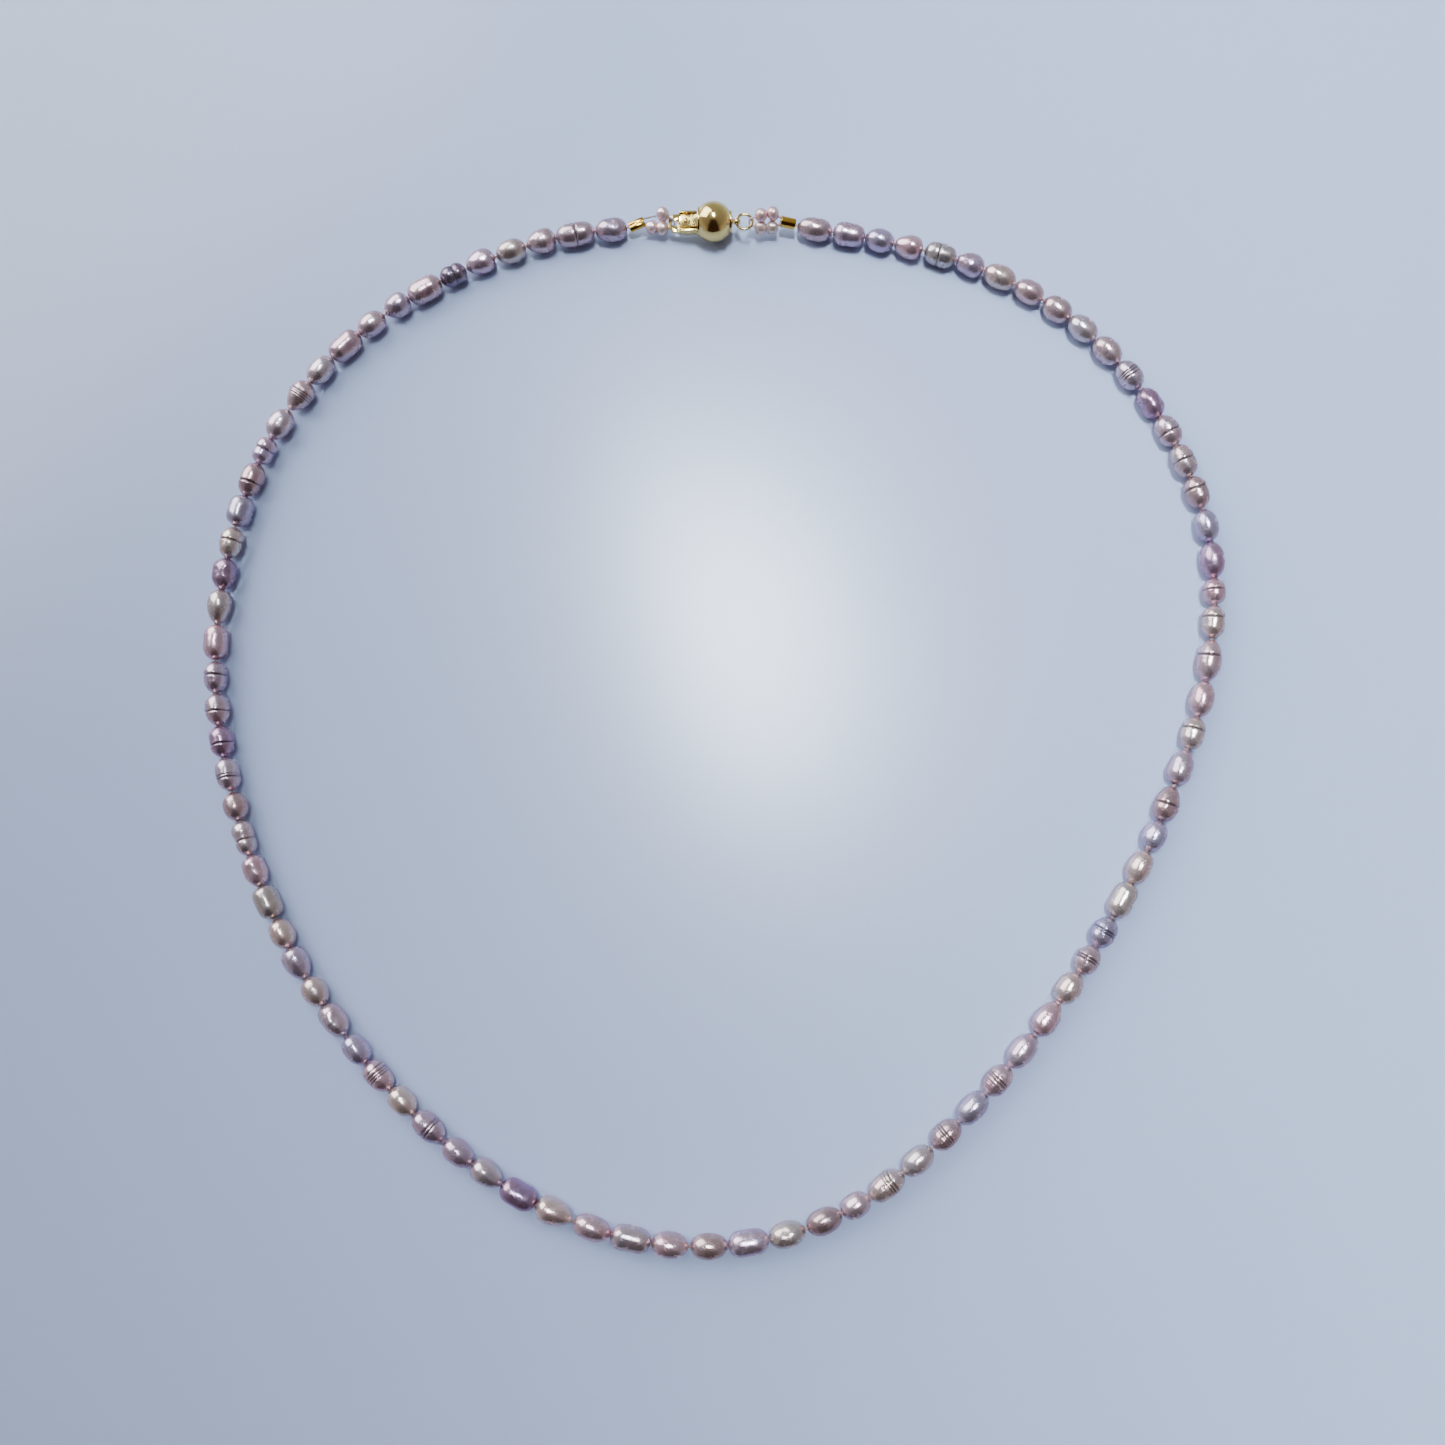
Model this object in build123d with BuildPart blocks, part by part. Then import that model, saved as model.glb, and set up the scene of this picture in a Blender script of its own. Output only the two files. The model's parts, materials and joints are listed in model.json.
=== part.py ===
from build123d import *
import math
import os

# A pearl necklace laid in a closed loop on a table: 86 rice pearls on one thread, a ball clasp at
# the far side (+Y), and a small loop of seed pearls between each end of the strand and the clasp.
# Millimetres. Z is up, z = 0 is the table, and the origin is the middle of the loop on the table.

# ---------------------------------------------------------------- driving dimensions
pearl_girth = 3.6        # largest diameter of a rice pearl
shortest_pearl = 3.95    # length of a size-0 rice pearl
pearl_step = 0.25        # each size is this much longer
pearl_bore = 0.9         # drill hole through a rice pearl
bore_lip = 0.15          # width of the flat rim round a drill hole
thread_diameter = 0.35   # beading thread through the rice pearls
link_gap = 0.36          # gap between two pearls where the strand bends
rest_gap = 0.13          # gap between two pearls elsewhere
thread_reach = 0.8       # how far a thread runs past a bend, into the next pearl
thread_set_back = 1.0    # how far behind a bend the next thread starts
pearls_per_link = 4      # pearls that stay in line with each other between two bends
pearls_on_right = 43     # pearls from the clasp to the open point of the loop

seed_girth = 1.9         # diameter of a seed pearl
seed_length = 1.65
seed_bore = 0.6
loop_thread = 0.3        # thread of the two small loops
ring_slack = 0.09        # play between the right loop and the jump ring's wire
rim_grip = 0.6           # left loop's thread to the middle of the eye plate's rim
right_lean = 38          # degrees that the right loop is tipped sideways
left_lean = 50
thread_in_tube = 0.5     # how far both strands of a loop run into its tube
tube_diameter = 1.65     # outside of the gold end tubes
tube_bore = 1.15
tube_rounding = 0.1
tube_length = 2.25
crimp_ridge = 0.52       # radius of each ridge of the squeezed tube
crimp_bore_width = 1.0
crimp_bore_height = 0.46
loop_corner = 0.32       # bend radius of the loop thread

ball_diameter = 6.0
ball_wall = 0.35
mouth_offset = 2.12      # ball centre to the flat that holds the mouth plate
cap_offset = 2.5         # ball centre to the flat that holds the end cap
plate_thickness = 0.3    # mouth plate and end cap disc
mouth_clearance = 0.15   # tongue to mouth, each side and below
tongue_width = 2.7       # across Y, the part that enters the ball
tongue_thickness = 0.3
handle_width = 3.2       # across Y, the part that stays outside
handle_length = 2.7
handle_height = 1.35     # height of the folded edges of the handle
tongue_reach = 1.3       # how far the fold of the tongue lies past the ball centre
tongue_drop = 0.95       # ball centre down to the tongue's underside
leaf_thickness = 0.22
leaf_width = 1.95
leaf_step = 0.14         # the leaf steps down this much in the handle
leaf_rise = 0.28         # leaf's underside at the mouth, above the ball centre
leaf_clearance = 0.12    # catch shoulder below the mouth's upper edge
leaf_start = 0.3         # upper face of the leaf above the lower sheet, where the two join
leaf_gap = 0.05          # play between the leaf's root and the fold
leaf_inset = 0.25        # leaf's free end to the handle's end
fold_radius = 0.24       # rolled edge that joins the two sheets
slot_headroom = 0.5      # mouth slot above the leaf
catch_depth = 0.31       # height of the catch shoulder's lip
step_offset = 0.9        # mouth plate to the leaf's step
stud_diameter = 0.75
stud_height = 0.4
eye_plate_length = 1.65
eye_plate_width = 2.9
eye_plate_thickness = 0.35
eye_hole = 1.0
eye_inset = 0.68         # handle's end to the middle of the eye hole

ring_diameter = 2.42     # jump ring, middle of the wire
ring_wire = 0.44
ring_eye_hole = 0.74
ring_eye_wall = 0.26
ring_eye_thickness = 0.4
boss_radius = 0.9
boss_height = 0.16
eye_standoff = 0.59      # end cap's boss to the middle of the eye
ring_split = 0.08        # the cut where the jump ring was opened

# ---------------------------------------------------------------- worked out from them
strand_height = pearl_girth / 2
ball_radius = ball_diameter / 2
mouth_radius = math.sqrt(ball_radius**2 - mouth_offset**2)
cap_radius = math.sqrt(ball_radius**2 - cap_offset**2)

# The strand, clockwise from the clasp. A letter is the pearl's form and a digit its size.
# O oval, B barrel, D drop, L lumpy, P peanut, R ringed.
STRAND = """
    O6 B4 O2 D2 R4 L2 O5 O3 O3 O4
    O4 O4 L4 R4 R5 R4 O4 O6 R0 R4
    O9 O6 R4 D6 D6 O3 O5 B6 R3 R2
    O4 D6 O7 R4 O6 R4 O5 R7 O2 O5
    O5 B7 O5 O5 B7 O6 D6 B6 D4 O4
    R6 O3 R4 O3 L5 O2 D4 O2 B4 L3
    P5 O1 R4 R3 R3 R3 B5 D5 L3 R3
    B3 R5 P1 O4 D4 O4 B6 O3 D1 B6
    P1 D3 O3 D3 B8 L4
""".split()

# Outline of each form: distance along the pearl from its middle, as a share of half its length,
# and radius there, as a share of half its girth.
FORMS = {
    "O": [(-0.8, 0.64), (-0.42, 0.92), (0.0, 1.0), (0.42, 0.92), (0.8, 0.64)],
    "B": [(-0.84, 0.74), (-0.5, 0.95), (0.0, 0.99), (0.5, 0.95), (0.84, 0.74)],
    "D": [(-0.8, 0.54), (-0.42, 0.83), (0.1, 0.98), (0.5, 0.93), (0.84, 0.68)],
    "L": [(-0.82, 0.62), (-0.45, 0.94), (-0.05, 0.93), (0.4, 0.97), (0.82, 0.66)],
    "P": [(-0.82, 0.7), (-0.45, 0.93), (0.0, 0.86), (0.45, 0.93), (0.82, 0.7)],
    "R": [(-0.82, 0.66), (-0.42, 0.95), (-0.12, 0.96), (0.06, 0.9), (0.26, 0.97), (0.8, 0.66)],
    "S": [(-0.72, 0.7), (0.0, 1.0), (0.72, 0.7)],
}

# Where the loop lies, from the middle of the loop: right side down to the front, then up the left.
ROUTE = [
    (20, 74), (38, 69.5), (55, 59.8), (67.5, 44.5), (74, 26), (73, 6.5),
    (67, -12), (58, -29.5), (47, -45.5), (33.5, -60.2), (18, -71.6), (-1, -76.2),
    (-20, -72.8), (-37, -63), (-51, -49.5), (-62.5, -33), (-70, -15), (-74, 4),
    (-73, 23.5), (-67, 42), (-55, 57.5), (-38.5, 68.3), (-20, 74.3),
]
CLASP_PLACE = (-0.4, 75.4)   # ball centre on the same map

# From each hook to the mouth of its gold tube, to the tube's end, and to the strand. Each step is
# its length along X, its shift along Y, and how much of the way down to the strand it has come.
RIGHT_STEPS = [(4.4, 0.3, 0.33), (tube_length, -0.3, 0.67), (0.2, -0.15, 1.0)]
LEFT_STEPS = [(-4.05, 0.55, 0.8), (-tube_length, -0.95, 0.95), (-0.2, -0.1, 1.0)]

# Seed pearls of each loop: distance from the hook, and height above the middle of the loop.
RIGHT_SEEDS = [(1.35, 0.98), (3.15, 1.2), (1.35, -1.0), (3.1, -0.95)]
LEFT_SEEDS = [(1.2, 1.3), (1.2, -0.75), (2.87, -0.75)]


def along(start, end, distance):
    """The point at a distance from start towards end."""
    return start + (end - start).normalized() * distance


# Places along the clasp, measured from the ball centre.
ring_centre_x = cap_offset + plate_thickness + boss_height + eye_standoff + ring_diameter / 2
handle_end_x = mouth_offset + plate_thickness + mouth_clearance + handle_length
eye_hole_x = handle_end_x + eye_inset
eye_rim_x = (eye_hole_x + eye_hole / 2 + handle_end_x + eye_plate_length) / 2
drop = ball_radius - strand_height


def loop_points(hook, steps):
    """The places of a loop's tube mouth, tube end and strand end."""
    points, x, y = [], hook.X, hook.Y
    for length, shift, share in steps:
        x, y = x + length, y + shift
        points.append(Vector(x, y, -drop * share))
    return points


RIGHT_HOOK = Vector(ring_centre_x + ring_diameter / 2, 0, 0)
RIGHT_MOUTH, RIGHT_END, RIGHT_START = loop_points(RIGHT_HOOK, RIGHT_STEPS)
LEFT_HOOK = Vector(-eye_rim_x, 0, -tongue_drop + (tongue_thickness + eye_plate_thickness) / 2)
LEFT_MOUTH, LEFT_END, LEFT_START = loop_points(LEFT_HOOK, LEFT_STEPS)


# ---------------------------------------------------------------- the strand's layout
def links_of(first, last):
    """Splits pearls first..last-1 into links, counted from the clasp's end."""
    step = pearls_per_link if last > first else -pearls_per_link
    edges = list(range(first, last, step)) + [last]
    return [tuple(sorted(pair)) for pair in zip(edges, edges[1:])]


RIGHT_LINKS = links_of(0, pearls_on_right)
LEFT_LINKS = links_of(len(STRAND), pearls_on_right)
LINK_ENDS = {pearl for link in RIGHT_LINKS + LEFT_LINKS for pearl in link}


def pearl_length(code):
    return shortest_pearl + pearl_step * int(code[1:])


def lay_out():
    """Start and length of each pearl along the strand, and the place of each bend."""
    spans, bends, place = [], {}, 0.0
    for number, code in enumerate(STRAND):
        gap = link_gap if number in LINK_ENDS else rest_gap
        if number == 0:
            gap = link_gap / 2
        elif number in LINK_ENDS:
            bends[number] = place + link_gap / 2
        spans.append((place + gap, pearl_length(code)))
        place += gap + pearl_length(code)
    bends[0], bends[len(STRAND)] = 0.0, place + link_gap / 2
    return spans, bends, place + link_gap / 2


SPANS, BENDS, strand_length = lay_out()


def route_at_scale(scale):
    """The strand's curve, with its ends on the clasp's loops whatever the scale."""
    ball = Vector(CLASP_PLACE[0] * scale, CLASP_PLACE[1] * scale, ball_radius)
    start, end = ball + RIGHT_START, ball + LEFT_START
    inner = [Vector(x * scale, y * scale, strand_height) for x, y in ROUTE]
    with BuildLine() as line:
        Spline(start, *inner, end)
    return ball, line.edge()


def fit_route():
    """Scales the route until it is as long as the pearls on it."""
    scale = 1.0
    for _ in range(6):
        ball, line = route_at_scale(scale)
        scale *= strand_length / line.length
    return ball, line, scale


BALL, strand_line, route_scale = fit_route()
stretch = strand_line.length / strand_length


def strand_point(distance):
    return strand_line.position_at(distance * stretch, position_mode=PositionMode.LENGTH)


def section_plane(start, end):
    """A plane with its X axis from start to end and its Y axis up, at the middle of the two."""
    run = end - start
    normal = run.cross(Vector(0, 0, 1))
    return Plane(origin=(start + end) * 0.5, x_dir=run, z_dir=normal)


# ---------------------------------------------------------------- pearls and threads
def add_pearl(plane, form, length, girth, bore):
    """Adds one drilled pearl to the part being built, its hole along the plane's X axis."""
    half, radius, hole = length / 2, girth / 2, bore / 2
    rim = hole + bore_lip
    with BuildSketch(plane) as profile:
        with BuildLine():
            outline = Spline(
                (-half, rim),
                *[(share * half, height * radius) for share, height in FORMS[form]],
                (half, rim),
                tangents=[(0.3, 1), (0.3, -1)],
            )
            Polyline(outline @ 1, (half, hole), (-half, hole), outline @ 0)
        make_face()
    revolve(profile.sketch, axis=Axis(plane.origin, plane.x_dir))


def pearl_link(name, link):
    """The rice pearls between two bends."""
    with BuildPart() as pearls:
        for number in range(*link):
            start, length = SPANS[number]
            plane = section_plane(strand_point(start), strand_point(start + length))
            add_pearl(plane, STRAND[number][0], length, pearl_girth, pearl_bore)
    save(pearls, name)


def strand_thread(name, start, end):
    """A stretch of thread, bent once along the strand."""
    middle = (start + end) / 2
    with BuildPart() as thread:
        with BuildLine() as path:
            ThreePointArc(strand_point(start), strand_point(middle), strand_point(end))
        with BuildSketch(Plane(origin=path.wires()[0] @ 0, z_dir=path.wires()[0] % 0)):
            Circle(thread_diameter / 2)
        sweep()
    save(thread, name)


def save(builder, name):
    builder.part.label = name
    export_step(builder.part, f"parts/{name}.step")


# ---------------------------------------------------------------- seed pearl loops
def bead_loop(side, hook, mouth, end, start, lean, grip, beads):
    """A thread loop from the clasp to an end tube, with seed pearls on both its strands.

    lean tips the loop sideways from upright, grip is how far the thread passes from the middle of
    what it hooks on to, and beads are (distance from the hook, height above the loop's middle).
    """
    run = mouth - hook
    across = Vector(0, 0, 1).cross(run).normalized() * (1 if run.X > 0 else -1)
    up = (run.cross(across) * (1 if run.X > 0 else -1)).normalized()
    tilt = math.radians(lean)
    rise = up * math.cos(tilt) + across * math.sin(tilt)
    plane = Plane(origin=hook, x_dir=run, z_dir=run.cross(rise))
    upper = sorted((bead for bead in beads if bead[1] > 0), reverse=True)
    lower = sorted(bead for bead in beads if bead[1] < 0)
    inside_tube = run.length + thread_in_tube
    spread = tube_bore / 2 - loop_thread
    corners = [(inside_tube, spread), *upper, (-grip, grip), (-grip, -grip), *lower,
               (inside_tube, -spread)]

    with BuildPart() as thread:
        with BuildLine(plane) as path:
            FilletPolyline(*corners, radius=loop_corner)
        with BuildSketch(Plane(origin=path.wires()[0] @ 0, z_dir=path.wires()[0] % 0)):
            Circle(loop_thread / 2)
        sweep()
        tail_start = along(mouth, end, (end - mouth).length / 2)
        tail_end = along(start, strand_point(thread_reach if run.X > 0 else
                                             strand_length - thread_reach), thread_reach)
        with BuildLine():
            Line(tail_start, tail_end)
        with BuildSketch(Plane(origin=tail_start, z_dir=tail_end - tail_start)):
            Circle(loop_thread / 2)
        sweep()
    save(thread, f"{side}_loop_thread")

    with BuildPart() as seeds:
        for distance, height in beads:
            centre = plane.from_local_coords((distance, height, 0))
            seed_plane = Plane(origin=centre, x_dir=plane.x_dir, z_dir=plane.z_dir)
            add_pearl(seed_plane, "S", seed_length, seed_girth, seed_bore)
    save(seeds, f"{side}_seed_pearls")


def end_tube(side, mouth, end):
    """A plain gold tube with rounded rims."""
    with BuildPart() as tube:
        with BuildSketch(Plane(origin=mouth, z_dir=end - mouth)):
            Circle(tube_diameter / 2)
            Circle(tube_bore / 2, mode=Mode.SUBTRACT)
        extrude(amount=(end - mouth).length)
        rims = tube.edges().filter_by(GeomType.CIRCLE).filter_by(
            lambda edge: edge.radius > (tube_diameter + tube_bore) / 4)
        fillet(rims, min(tube_rounding, (tube_diameter - tube_bore) / 5))
    save(tube, f"{side}_end_tube")


def crimp_tube(side, mouth, end):
    """A gold tube squeezed flat, so that two ridges stand beside a groove."""
    section = Plane(origin=mouth, x_dir=(end - mouth).cross(Vector(0, 0, 1)), z_dir=end - mouth)
    with BuildPart() as tube:
        with BuildSketch(section):
            with Locations((-crimp_ridge / 2, 0), (crimp_ridge / 2, 0)):
                Circle(crimp_ridge)
            SlotOverall(crimp_bore_width, crimp_bore_height, mode=Mode.SUBTRACT)
        extrude(amount=(end - mouth).length)
    save(tube, f"{side}_end_tube")


# ---------------------------------------------------------------- ball clasp
# Side view through the ball centre: local X is +X and local Y is up.
side_view = Plane(origin=BALL, x_dir=(1, 0, 0), z_dir=(0, -1, 0))
clasp_axis = Axis(BALL, (1, 0, 0))
slot_bottom = -tongue_drop - mouth_clearance
slot_top = leaf_rise + leaf_thickness + slot_headroom
leaf_fold = -tongue_drop + tongue_thickness
mouth_face = -mouth_offset - plate_thickness
cap_face = cap_offset + plate_thickness
leaf_root = tongue_reach - fold_radius - leaf_gap
leaf_bend = mouth_face - step_offset
leaf_tail = mouth_face - mouth_clearance - handle_length + leaf_inset


def ball_shell():
    with BuildPart() as shell:
        with BuildSketch(side_view):
            Circle(ball_radius)
            Circle(ball_radius - ball_wall, mode=Mode.SUBTRACT)
            with Locations((-mouth_offset, 0)):
                Rectangle(mouth_offset + cap_offset, ball_radius, mode=Mode.INTERSECT,
                          align=(Align.MIN, Align.MIN))
        revolve(axis=clasp_axis)
    save(shell, "ball_shell")


def mouth_plate():
    with BuildPart() as plate:
        with BuildSketch(Plane(origin=BALL + Vector(mouth_face, 0, 0), x_dir=(0, 1, 0),
                               z_dir=(1, 0, 0))):
            Circle(mouth_radius)
            with Locations((0, (slot_top + slot_bottom) / 2)):
                Rectangle(tongue_width + 2 * mouth_clearance, slot_top - slot_bottom,
                          mode=Mode.SUBTRACT)
        extrude(amount=plate_thickness)
    save(plate, "mouth_plate")


def end_cap():
    """The disc that closes the ball, with a low rounded boss on it."""
    with BuildPart() as cap:
        with BuildSketch(Plane(origin=BALL + Vector(cap_offset, 0, 0), x_dir=(0, 1, 0),
                               z_dir=(1, 0, 0))):
            Circle(cap_radius)
        extrude(amount=plate_thickness)
        with BuildSketch(Plane(origin=BALL + Vector(cap_face, 0, 0), x_dir=(0, 1, 0),
                               z_dir=(1, 0, 0))):
            Circle(boss_radius)
        extrude(amount=boss_height)
        fillet(cap.edges().sort_by(Axis.X)[-1], boss_height * 0.8)
    save(cap, "end_cap")


def ring_eye():
    """The small upright eye on the end cap that holds the jump ring."""
    outer = ring_eye_hole / 2 + ring_eye_wall
    eye_x = ring_centre_x - ring_diameter / 2
    foot = cap_face + boss_height
    with BuildPart() as eye:
        with BuildSketch(side_view):
            with Locations((eye_x, 0)):
                Circle(outer)
            with Locations((foot, 0)):
                Rectangle(eye_x - foot, 2 * ring_eye_wall, align=(Align.MIN, Align.CENTER))
            with Locations((eye_x, 0)):
                Circle(ring_eye_hole / 2, mode=Mode.SUBTRACT)
        extrude(amount=ring_eye_thickness / 2, both=True)
    save(eye, "ring_eye")


def jump_ring():
    with BuildPart() as ring:
        with Locations(BALL + Vector(ring_centre_x, 0, 0)):
            Torus(ring_diameter / 2, ring_wire / 2)
            with Locations((0, -ring_diameter / 2, 0)):
                Box(ring_split, 2 * ring_wire, 2 * ring_wire, mode=Mode.SUBTRACT)
    save(ring, "jump_ring")


def tongue_plate():
    """The tongue's lower sheet, and outside the ball its handle with two folded edges."""
    handle_start = mouth_face - mouth_clearance
    top = Plane(origin=BALL + Vector(0, 0, -tongue_drop))
    with BuildPart() as tongue:
        with BuildSketch(top):
            with Locations((handle_start, 0)):
                Rectangle(tongue_reach - handle_start, tongue_width,
                          align=(Align.MIN, Align.CENTER))
                Rectangle(handle_length, handle_width, align=(Align.MAX, Align.CENTER))
        extrude(amount=tongue_thickness)
        with BuildSketch(top):
            for edge_side in (-1, 1):
                with Locations((handle_start, edge_side * handle_width / 2)):
                    Rectangle(handle_length, tongue_thickness,
                              align=(Align.MAX, Align.MIN if edge_side < 0 else Align.MAX))
        extrude(amount=handle_height)
        outer_corners = tongue.edges().filter_by(Axis.Z).group_by(Axis.X)[0]
        fillet(outer_corners.sort_by(Axis.Y)[0], tongue_thickness * 0.8)
        outer_corners = tongue.edges().filter_by(Axis.Z).group_by(Axis.X)[0]
        fillet(outer_corners.sort_by(Axis.Y)[-1], tongue_thickness * 0.8)
        with BuildSketch(side_view):
            with Locations((tongue_reach, leaf_fold)):
                Circle(fold_radius)
        extrude(amount=tongue_width / 2, both=True)
    save(tongue, "tongue_plate")


def eye_plate():
    """The plate at the handle's end, with the hole for the left loop."""
    inner_x = mouth_face - mouth_clearance - handle_length
    with BuildPart() as plate:
        with BuildSketch(Plane(origin=BALL + Vector(0, 0, -tongue_drop + 0.5 * tongue_thickness))):
            with Locations((inner_x, 0)):
                Rectangle(eye_plate_length, eye_plate_width, align=(Align.MAX, Align.CENTER))
        extrude(amount=eye_plate_thickness)
        outer_corners = plate.edges().filter_by(Axis.Z).group_by(Axis.X)[0]
        chamfer(outer_corners, eye_plate_width * 0.26)
        with Locations(BALL + Vector(-eye_hole_x, 0, 0)):
            Hole(eye_hole / 2)
    save(plate, "eye_plate")


def spring_leaf():
    """The sprung upper sheet of the tongue: it rises to a catch shoulder inside the mouth."""
    shoulder_x = -mouth_offset + leaf_clearance
    shoulder_inner = shoulder_x + leaf_thickness
    shoulder_top = slot_top - leaf_clearance
    shoulder_low = shoulder_top - catch_depth
    leaf_top = leaf_rise + leaf_thickness
    root_top = leaf_fold + leaf_start
    upper = [(leaf_root, root_top), (shoulder_x, shoulder_top), (shoulder_x, leaf_top),
             (leaf_bend, leaf_top), (leaf_bend - leaf_step, leaf_top - leaf_step),
             (leaf_tail, leaf_top - leaf_step)]
    lower = [(leaf_tail, leaf_rise - leaf_step), (leaf_bend - leaf_step, leaf_rise - leaf_step),
             (leaf_bend, leaf_rise), (shoulder_inner, leaf_rise), (shoulder_inner, shoulder_low),
             (leaf_root, root_top - leaf_thickness)]
    with BuildPart() as leaf:
        with BuildSketch(side_view):
            with BuildLine():
                Polyline(*upper, *lower, close=True)
            make_face()
        extrude(amount=leaf_width / 2, both=True)
    save(leaf, "spring_leaf")


def thumb_stud():
    """The stud that is pressed to lower the catch."""
    stud_x = leaf_tail + stud_diameter
    foot = leaf_rise - leaf_step + leaf_thickness
    with BuildPart() as stud:
        with BuildSketch(Plane(origin=BALL + Vector(stud_x, 0, foot))):
            Circle(stud_diameter / 2)
        extrude(amount=stud_height)
        fillet(stud.edges().group_by(Axis.Z)[-1], stud_diameter * 0.3)
    save(stud, "thumb_stud")


# ---------------------------------------------------------------- the whole necklace
def build_strand():
    for side, links in (("right", RIGHT_LINKS), ("left", LEFT_LINKS)):
        for number, link in enumerate(links, start=1):
            pearl_link(f"{side}_pearls_{number:02d}", link)
            near, far = (BENDS[pearl] for pearl in (link if side == "right" else link[::-1]))
            away = 1 if side == "right" else -1
            last_left = side == "left" and number == len(links)
            reach = -thread_set_back if last_left else thread_reach
            strand_thread(f"{side}_thread_{number:02d}", near + away * thread_set_back,
                          far + away * reach)


def build_clasp():
    ball_shell()
    mouth_plate()
    end_cap()
    ring_eye()
    jump_ring()
    tongue_plate()
    eye_plate()
    spring_leaf()
    thumb_stud()


def build_loops():
    ring_grip = ring_wire / 2 + loop_thread / 2 + ring_slack
    bead_loop("right", BALL + RIGHT_HOOK, BALL + RIGHT_MOUTH, BALL + RIGHT_END,
              BALL + RIGHT_START, right_lean, ring_grip, RIGHT_SEEDS)
    end_tube("right", BALL + RIGHT_MOUTH, BALL + RIGHT_END)
    bead_loop("left", BALL + LEFT_HOOK, BALL + LEFT_MOUTH, BALL + LEFT_END,
              BALL + LEFT_START, left_lean, rim_grip, LEFT_SEEDS)
    crimp_tube("left", BALL + LEFT_MOUTH, BALL + LEFT_END)


if __name__ == "__main__":
    os.makedirs("parts", exist_ok=True)
    build_clasp()
    build_loops()
    build_strand()
    print(f"strand {strand_length:.1f} mm, route scale {route_scale:.4f}")
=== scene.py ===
import json
import math
import random

import bmesh
import bpy
import numpy as np
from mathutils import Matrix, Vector, noise

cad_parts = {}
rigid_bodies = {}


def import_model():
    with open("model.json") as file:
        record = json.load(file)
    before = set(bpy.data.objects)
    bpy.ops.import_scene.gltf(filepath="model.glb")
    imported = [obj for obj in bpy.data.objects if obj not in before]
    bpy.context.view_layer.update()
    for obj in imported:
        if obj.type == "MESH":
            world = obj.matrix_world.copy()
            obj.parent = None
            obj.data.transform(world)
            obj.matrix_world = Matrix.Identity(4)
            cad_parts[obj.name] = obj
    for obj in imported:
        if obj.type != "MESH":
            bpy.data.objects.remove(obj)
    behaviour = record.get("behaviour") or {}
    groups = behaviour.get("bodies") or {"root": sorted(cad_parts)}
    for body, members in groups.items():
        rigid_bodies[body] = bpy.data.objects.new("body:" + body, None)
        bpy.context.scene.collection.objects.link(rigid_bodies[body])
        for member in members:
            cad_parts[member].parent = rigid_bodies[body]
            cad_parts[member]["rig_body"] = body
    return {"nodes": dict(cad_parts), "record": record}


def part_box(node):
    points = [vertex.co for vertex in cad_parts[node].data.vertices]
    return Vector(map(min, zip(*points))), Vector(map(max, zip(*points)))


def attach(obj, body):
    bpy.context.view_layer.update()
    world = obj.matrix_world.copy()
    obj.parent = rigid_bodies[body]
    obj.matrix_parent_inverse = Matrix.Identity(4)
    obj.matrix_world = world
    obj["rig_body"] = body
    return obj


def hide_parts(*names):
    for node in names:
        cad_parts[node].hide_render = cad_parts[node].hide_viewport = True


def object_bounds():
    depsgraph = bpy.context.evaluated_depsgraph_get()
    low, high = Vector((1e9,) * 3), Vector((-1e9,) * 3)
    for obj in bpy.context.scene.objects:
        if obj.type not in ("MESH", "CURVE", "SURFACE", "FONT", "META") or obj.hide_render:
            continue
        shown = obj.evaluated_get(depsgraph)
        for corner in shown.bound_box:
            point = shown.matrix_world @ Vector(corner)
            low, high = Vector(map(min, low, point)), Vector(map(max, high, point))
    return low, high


MM = 0.001

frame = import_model()
nodes = frame["nodes"]
cad_low, cad_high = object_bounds()   # the bare CAD's box, before any piece is added


# ---------------------------------------------------------------- camera
# Held over the necklace and a little in front of it, tilted back a few degrees.
VIEW_DISTANCE = 192.2 * MM
VIEW_TILT = math.radians(6.96)
VIEW_AIM = Vector((1.0, -1.8, 0.0)) * MM
SENSOR = 36.0
LENS = 32.14
NEAREST, FARTHEST = 0.01, 20.0   # what the camera sees, in metres


def add_camera():
    """The camera above the table, looking down at VIEW_AIM."""
    data = bpy.data.cameras.new("camera")
    camera = bpy.data.objects.new("camera", data)
    bpy.context.scene.collection.objects.link(camera)
    data.sensor_width, data.lens = SENSOR, LENS
    data.clip_start, data.clip_end = NEAREST, FARTHEST
    away = Vector((0.0, -math.sin(VIEW_TILT), math.cos(VIEW_TILT)))
    camera.location = VIEW_AIM + away * VIEW_DISTANCE
    camera.rotation_euler = (VIEW_TILT, 0.0, 0.0)
    bpy.context.scene.camera = camera


# ---------------------------------------------------------------- node helpers
def new_material(name):
    """A node material, with its tree and its shader."""
    material = bpy.data.materials.new(name)
    material.use_nodes = True
    tree = material.node_tree
    shader = tree.nodes["Principled BSDF"]
    return material, tree, shader


def add_node(tree, kind, **values):
    """A new node. Each value sets the node's property or, where it has none, its input."""
    node = tree.nodes.new(kind)
    for key, value in values.items():
        if hasattr(node, key):
            setattr(node, key, value)
        else:
            node.inputs[key.replace("_", " ")].default_value = value
    return node


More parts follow.
